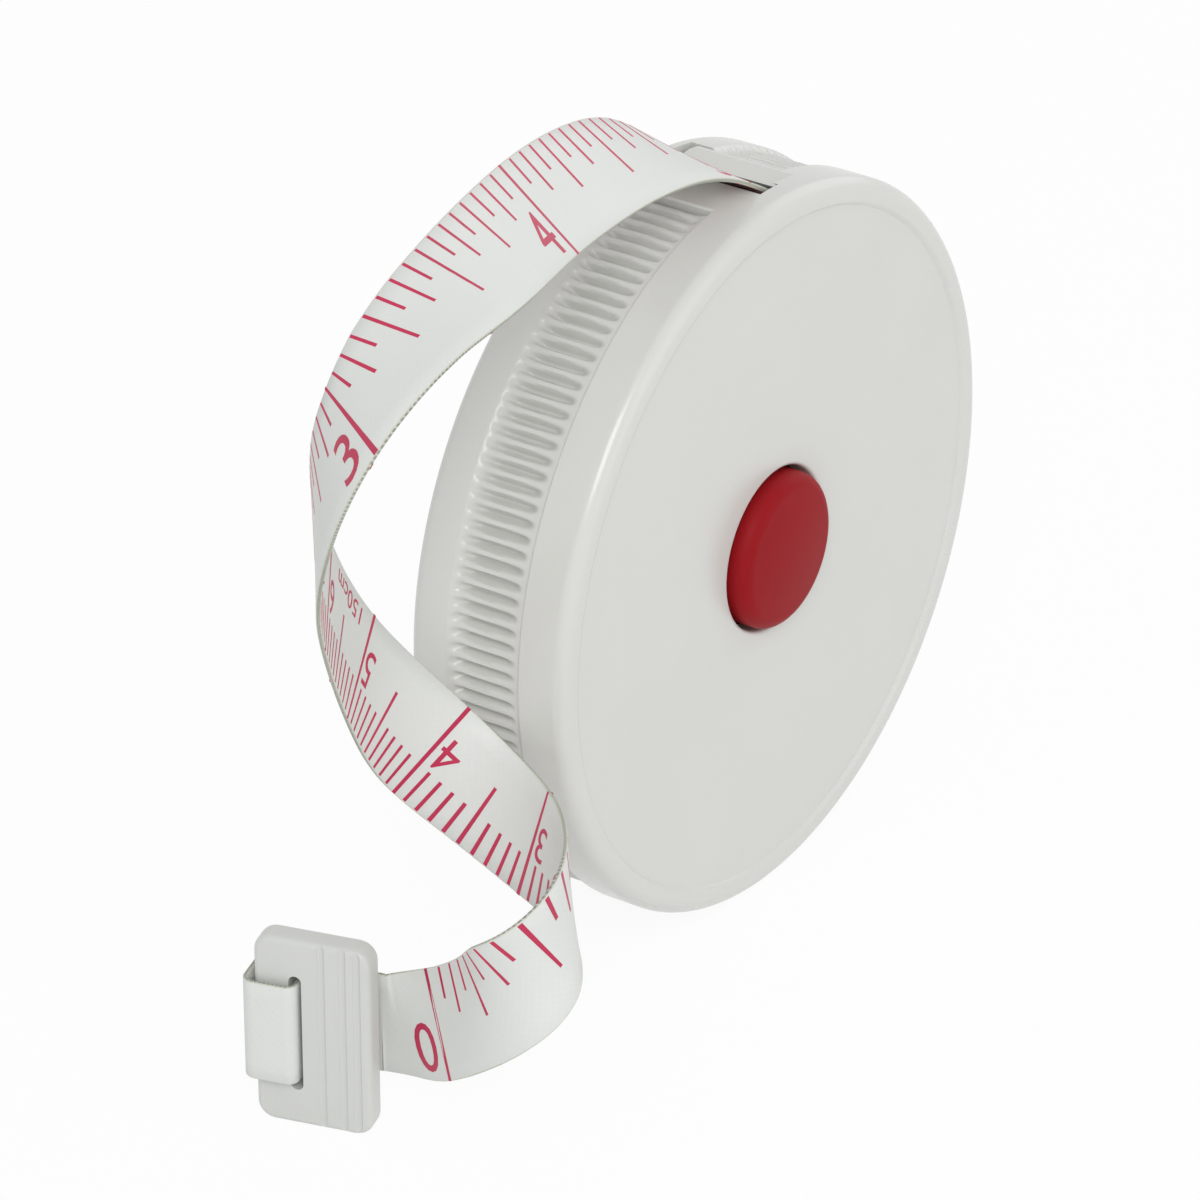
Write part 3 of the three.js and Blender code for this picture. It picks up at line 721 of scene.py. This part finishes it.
def figure_body(text, height, end, low, stretch=1.0):
    """Points (along, across, rise) and faces of printed figures that end at this length along
    the tape, cut short enough to bend."""
    curve = bpy.data.curves.new("figure", "FONT")
    curve.body = text
    curve.extrude = 0.1
    curve.resolution_u = 4
    figure = bpy.data.objects.new("figure", curve)
    scene.collection.objects.link(figure)
    mesh = bpy.data.meshes.new_from_object(
        figure.evaluated_get(bpy.context.evaluated_depsgraph_get()))
    body = bmesh.new()
    body.from_mesh(mesh)
    bmesh.ops.remove_doubles(body, verts=body.verts, dist=1e-5)
    points = np.array([vertex.co for vertex in body.verts])
    low_corner, high_corner = points.min(0), points.max(0)
    size = high_corner - low_corner
    width = height * size[0] / size[1] * stretch
    left = end - width
    for vertex in body.verts:
        share = [(vertex.co[k] - low_corner[k]) / size[k] for k in range(3)]
        vertex.co = (left + width * share[0], low + height * share[1],
                     ink_low + (ink_high - ink_low) * share[2])
    for k in range(1, math.ceil(width / figure_step)):
        bmesh.ops.bisect_plane(body, geom=[*body.verts, *body.edges, *body.faces],
                               plane_co=(left + k * figure_step, 0, 0), plane_no=(1, 0, 0))
    points = [tuple(vertex.co) for vertex in body.verts]
    body.verts.index_update()
    faces = [[vertex.index for vertex in face.verts] for face in body.faces]
    body.free()
    bpy.data.objects.remove(figure)
    bpy.data.curves.remove(curve)
    bpy.data.meshes.remove(mesh)
    return points, faces


def printed_scale(name, bodies, side):
    """One piece of ink from many marks. Side 1 is the outer face and -1 the inner one."""
    points, faces = [], []
    for body_points, body_faces in bodies:
        first = len(points)
        points += [on_tape(along, across * side, rise * side)
                   for along, across, rise in body_points]
        faces += [[first + corner for corner in face] for face in body_faces]
    piece = new_piece(name, points, faces, [ink], tape_sharp_angle)
    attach(piece, "tape")


ink = surface_material("crimson_ink", moulded_surface, bump_depth=None, Colour=ink_colour,
                       Mottle=0.5, Roughness=0.45, Flow_marks=0.2)
printed_end = row_lengths[-1] - print_end_gap
inch_marks = []
for sixteenth in range(int((printed_end - inch_zero) / inch * 16) + 1):
    start = inch_zero + sixteenth * inch / 16
    if sixteenth % 16 == 0:
        inch_marks.append(tick_body(start, line_width, -tape_half, tape_half))
        inch_marks.append(figure_body(str(sixteenth // 16), inch_figure_height,
                                      start - figure_gap, inch_figure_margin - tape_half))
    else:
        length = sixteenth_lengths[math.gcd(sixteenth, 16)]
        inch_marks.append(tick_body(start, tick_width, tape_half - tick_margin - length,
                                    tape_half - tick_margin))
printed_scale("inch_scale", inch_marks, 1)

centimetre_marks = []
for millimetre in range(int(printed_end - centimetre_zero) + 1):
    start = centimetre_zero + millimetre
    if millimetre % 10 == 0:
        centimetre_marks.append(tick_body(start, line_width, -tape_half, tape_half))
        if millimetre:
            centimetre_marks.append(figure_body(
                str(millimetre // 10), centimetre_figure_height, start - centimetre_figure_gap,
                centimetre_figure_margin - tape_half))
    else:
        length = half_centimetre_length if millimetre % 5 == 0 else millimetre_length
        centimetre_marks.append(tick_body(start, tick_width, tape_half - tick_margin - length,
                                          tape_half - tick_margin))
centimetre_marks.append(figure_body(
    "150cm", length_mark_height, centimetre_zero + length_mark_end,
    length_mark_margin - tape_half, length_mark_stretch))
printed_scale("centimetre_scale", centimetre_marks, -1)


# End fold: the last of the tape goes behind the tab, round its bar, back through the slot and
#  is welded to its own back. The short strip beside it spans the tab's hinge.
tab_hinge_along = 6.35
strand_hinge = 2.1
strand_stops = (3.8, 2)
strand_back = 1.35
fold_bend = 0.75
fold_bend_back = (0.15, 1.35)
fold_bend_front = (0.15, -0.6)
slot_bend = 0.6
slot_bend_front = (2.175, -0.75)
slot_bend_back = (3.375, 0.75)
weld_start = 4.6
fold_end = 5.7
bend_steps = 6

fold_path = [(along, strand_hinge)
             for along in (tab_hinge_along - hinge_reach, *strand_stops)]
fold_path += arc(fold_bend_back, fold_bend, 1, 2, 8)
fold_path += arc(fold_bend_front, fold_bend, 2, 3, 8)
fold_path += arc(slot_bend_front, slot_bend, 3, 4, 8)
fold_path += arc(slot_bend_back, slot_bend, 2, 1, 8)
fold_path += [(weld_start, strand_back), (fold_end, strand_back)]
bend_path = [(tab_hinge_along + hinge_reach * (k / bend_steps - 1), strand_hinge)
             for k in range(bend_steps * 2 + 1)]


def by_tab(along, through, up=0.0):
    """A point given in the tab's own directions: from its bar side, back from it, and up."""
    return (tab_hinge + tab_along * (along - tab_hinge_along)
            + tab_through * (through - strand_hinge) + Vector((0, 0, up)))


def path_rows(middles, across):
    """Tape rows along these middles, all with the same direction across the tape."""
    rows = []
    for k, middle in enumerate(middles):
        along = (middles[min(k + 1, len(middles) - 1)] - middles[max(k - 1, 0)]).normalized()
        rows.append((middle, across, along.cross(across)))
    return rows


def upright_rows(path):
    """Tape rows that stand upright along a path of (along, through) points by the tab."""
    return path_rows([by_tab(*point) for point in path], Vector((0, 0, 1)))


fold = strip("end_fold_strip", upright_rows(fold_path), tape_materials)
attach(fold, "tab")
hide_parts("tape_end_fold")
bend = strip("hinge_bend_strip", upright_rows(bend_path), tape_materials)
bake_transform(bend)


# End tab: a small white moulded plate with round corners, the slot and bar that hold the tape,
# and three shallow grooves to grip it by.
tab_width = 7.8
tab_height = 13.6
tab_thickness = 1.8
tab_corner = 1.2
corner_steps = 8
tab_rounding = 0.4
rounding_steps = 5
slot_left = 2.35
slot_right = 3.2
slot_half_height = 4.2
groove_places = (4.52, 5.93, 6.9)
groove_radius = 0.3
groove_depth = 0.16
slot_cut_depth = 2
tab_plastic_colour = (0.64, 0.65, 0.625, 1)


def rounded_plate():
    """Points and faces of the plate, with rounded edges all round it."""
    half, height = tab_thickness / 2, tab_height / 2
    rings = [(inset, -half + lift) for inset, lift in (
        (tab_rounding * (1 - math.sin(a)), tab_rounding * (1 - math.cos(a)))
        for a in (math.pi / 2 * k / rounding_steps for k in range(rounding_steps + 1)))]
    rings += [(inset, -through) for inset, through in reversed(rings)]
    points = []
    for inset, through in rings:
        reach = tab_corner - inset
        for x, z, start in ((tab_width - tab_corner, height - tab_corner, 0),
                            (tab_corner, height - tab_corner, 1),
                            (tab_corner, tab_corner - height, 2),
                            (tab_width - tab_corner, tab_corner - height, 3)):
            points += [by_tab(px, through, pz)
                       for px, pz in arc((x, z), reach, start, start + 1, corner_steps)]
    return points, row_faces(len(rings), len(points) // len(rings))


def tab_prism(outline, low, high, axis):
    """A cutter over an outline on the tab's plate, or over one seen along its height."""
    if axis == "through":
        points = [by_tab(x, depth, z) for depth in (low, high) for x, z in outline]
    else:
        points = [by_tab(x, depth, z) for z in (low, high) for x, depth in outline]
    return points, row_faces(2, len(outline))


tab_plastic = moulded_plastic("white_tab_plastic", tab_plastic_colour, roughness=0.4,
                              mottle=0.06, flow_marks=0.12, skin_depth=0.008)
tab = new_piece("slotted_end_tab", *rounded_plate(), [tab_plastic])
slot_middle = (slot_left + slot_right) / 2
slot_end_radius = (slot_right - slot_left) / 2
slot_straight = slot_half_height - slot_end_radius
slot_outline = arc((slot_middle, slot_straight), slot_end_radius, 0, 2, 10)
slot_outline += arc((slot_middle, -slot_straight), slot_end_radius, 2, 4, 10)
combine(tab, *tab_prism(slot_outline, -slot_cut_depth, slot_cut_depth, "through"), "DIFFERENCE")
for groove_place in groove_places:
    groove_centre = (groove_place, groove_depth - groove_radius - tab_thickness / 2)
    combine(tab, *tab_prism(arc(groove_centre, groove_radius, 0, 4, 32)[:-1],
                            -tab_height, tab_height, "up"), "DIFFERENCE")
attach(tab, "tab")
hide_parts("end_tab")


# Wound tape: the rest of the cloth, one strip wound on the hub in some fourteen turns, with its
# inner end tucked into the hub's slot and held by a small wedge.
wound_start = 9.45
wound_end = 20.4
wound_pitch = 0.77
wound_turn_rows = 60
run_slope = math.radians(38.444)
wound_end_angle = math.pi / 2 - run_slope
wound_tuck = 0.45
wound_tail = 0.75
wound_turns = (wound_end - wound_start) / wound_pitch
wound_start_angle = wound_end_angle - wound_turns * 2 * math.pi


def wound_rows():
    """Rows of the winding, from the tail in the hub's slot out to where the run leaves it."""
    count = round(wound_turns * wound_turn_rows)
    places = []
    for k in range(count + 1):
        angle = wound_end_angle - wound_turns * 2 * math.pi * (count - k) / count
        radius = wound_start + (wound_end - wound_start) * k / count
        places.append(Vector((radius * math.cos(angle), slot_centre.y, radius * math.sin(angle))))
    outward = Vector((math.cos(wound_start_angle), 0, math.sin(wound_start_angle)))
    forward = Vector((-outward.z, 0, outward.x))
    turn = places[0] - outward * wound_tuck
    tuck = [turn + outward * out + forward * on
            for out, on in arc((0, 0), wound_tuck, -1, 0, 6)[:-1]]
    return path_rows([tuck[0] - outward * wound_tail, *tuck, *places], Vector((0, 1, 0)))


wound_tape = strip("wound_tape_strip", wound_rows(), tape_materials)
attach(wound_tape, "reel")
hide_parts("wound_tape")


# Reel, brake and axle: the moulded drum and its snapped-on flange, the steel mainspring under
# its cover, the rubber brake ring, and the washer and screw that close the axle.
reel_plastic_colour = (0.6, 0.6, 0.57, 1)
brake_rubber_colour = (0.03, 0.03, 0.03, 1)
steel_colour = (0.45, 0.46, 0.48, 1)

reel_plastic = moulded_plastic("reel_plastic", reel_plastic_colour, roughness=0.5, mottle=0.06,
                               flow_marks=0.1, skin_depth=0.01)
brake_rubber = moulded_plastic("brake_rubber", brake_rubber_colour, roughness=0.8, mottle=0.3,
                               flow_marks=0.1, skin_depth=0.03)

drawn_steel, group_in, group_out = section_group(
    "drawn_steel",
    [("Colour", colour_kind, steel_colour), ("Roughness", float_kind, 0.3)],
    [("Colour", colour_kind), ("Roughness", float_kind), ("Height", float_kind)],
)
steel_place = add_node(drawn_steel, "ShaderNodeTexCoord").outputs["Object"]
stretched = add_node(drawn_steel, "ShaderNodeMapping", Vector=steel_place, Scale=(3000, 200, 3000))
streaks = add_node(drawn_steel, "ShaderNodeTexNoise", Vector=stretched.outputs[0], Scale=1,
                   Detail=3)
drawn_steel.links.new(
    shaded(drawn_steel, group_in.outputs["Colour"], streaks.outputs[0], 0.3),
    group_out.inputs["Colour"])
drawn_steel.links.new(
    math_node(drawn_steel, "ADD", group_in.outputs["Roughness"],
              math_node(drawn_steel, "MULTIPLY", streaks.outputs[0], 0.2)),
    group_out.inputs["Roughness"])
drawn_steel.links.new(streaks.outputs[0], group_out.inputs["Height"])

spring_steel = surface_material("spring_steel", drawn_steel, bump_depth=0.003)
spring_steel.node_tree.nodes["Principled BSDF"].inputs["Metallic"].default_value = 1.0

for node_name, material in (
        ("reel_drum", reel_plastic), ("reel_front_flange", reel_plastic),
        ("tape_wedge", reel_plastic), ("spring_cover", reel_plastic),
        ("brake_ring", brake_rubber), ("mainspring", spring_steel),
        ("axle_washer", spring_steel), ("axle_screw", spring_steel)):
    node_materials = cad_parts[node_name].data.materials
    node_materials.clear()
    node_materials.append(material)


# Button spring: a coil of round steel wire between the axle washer and the button's ceiling,
# which the button presses together.
coil_radius = 2.9
coil_wire_radius = 0.2
coil_turns = 3.75
coil_back = -7.75
coil_front = -11.6
coil_rows = 135
coil_wire_sides = 10


def coil_body():
    """Points and faces of the coil's wire."""
    points = []
    for k in range(coil_rows + 1):
        angle = 2 * math.pi * coil_turns * k / coil_rows
        outward = Vector((math.cos(angle), 0, math.sin(angle)))
        middle = coil_back + (coil_front - coil_back) * k / coil_rows
        points += [outward * (coil_radius + out) + Vector((0, middle + aside, 0))
                   for out, aside in arc((0, 0), coil_wire_radius, 0, 4, coil_wire_sides)[:-1]]
    return points, row_faces(coil_rows + 1, coil_wire_sides)


coil = new_piece("button_coil", *coil_body(), [spring_steel])
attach(coil, "case")
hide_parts("button_spring")
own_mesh(coil)


# Floor and light: a plain white floor that keeps a faint shadow, a white surround, and large
# soft lamps at a plain level, the strongest from the upper left.
floor_level = -case_radius
floor_half = 3000
floor_white = (0.93, 0.93, 0.93, 1)
background_share = 0.93
surround_level = 0.62

# Each lamp's name, its place, the side of its square and its power in watts
lamps = (
    ("key_lamp", (-420, -330, 420), 300, 1.65),
    ("front_lamp", (120, -520, 160), 380, 0.25),
    ("right_lamp", (480, -60, 240), 380, 0.35),
)


def seen_directly(tree):
    """1 for rays from the camera and for mirrored or transmitted ones, and 0 for the rest."""
    rays = add_node(tree, "ShaderNodeLightPath").outputs
    either = math_node(tree, "MAXIMUM", rays["Is Camera Ray"], rays["Is Glossy Ray"])
    return math_node(tree, "MAXIMUM", either, rays["Is Transmission Ray"])


floor_material, tree, principled = plain_material("white_floor")
principled.inputs["Base Color"].default_value = floor_white
principled.inputs["Roughness"].default_value = 0.9
principled.inputs["Specular IOR Level"].default_value = 0
glow = add_node(tree, "ShaderNodeEmission", Color=(1, 1, 1, 1), Strength=1.0)
floor_mix = add_node(tree, "ShaderNodeMixShader",
                     Fac=math_node(tree, "MULTIPLY", seen_directly(tree), background_share))
tree.links.new(principled.outputs[0], floor_mix.inputs[1])
tree.links.new(glow.outputs[0], floor_mix.inputs[2])
tree.links.new(floor_mix.outputs[0], tree.nodes["Material Output"].inputs["Surface"])
floor = new_piece("floor", [(x, y, floor_level) for x, y in (
    (-floor_half, -floor_half), (floor_half, -floor_half),
    (floor_half, floor_half), (-floor_half, floor_half))], [(0, 1, 2, 3)], [floor_material])

world = bpy.data.worlds.new("white_surround")
world.use_nodes = True
scene.world = world
tree = world.node_tree
background = tree.nodes["Background"]
background.inputs["Color"].default_value = (1, 1, 1, 1)
tree.links.new(
    math_node(tree, "ADD", surround_level,
              math_node(tree, "MULTIPLY", seen_directly(tree), 1 - surround_level)),
    background.inputs["Strength"])

for lamp_name, lamp_place, lamp_size, lamp_power in lamps:
    lamp = bpy.data.objects.new(lamp_name, bpy.data.lights.new(lamp_name, "AREA"))
    lamp.data.size = lamp_size * mm
    lamp.data.energy = lamp_power
    lamp.location = Vector(lamp_place) * mm
    lamp.rotation_euler = Vector(lamp_place).to_track_quat("Z", "Y").to_euler()
    scene.collection.objects.link(lamp)

scene.view_settings.view_transform = "Standard"
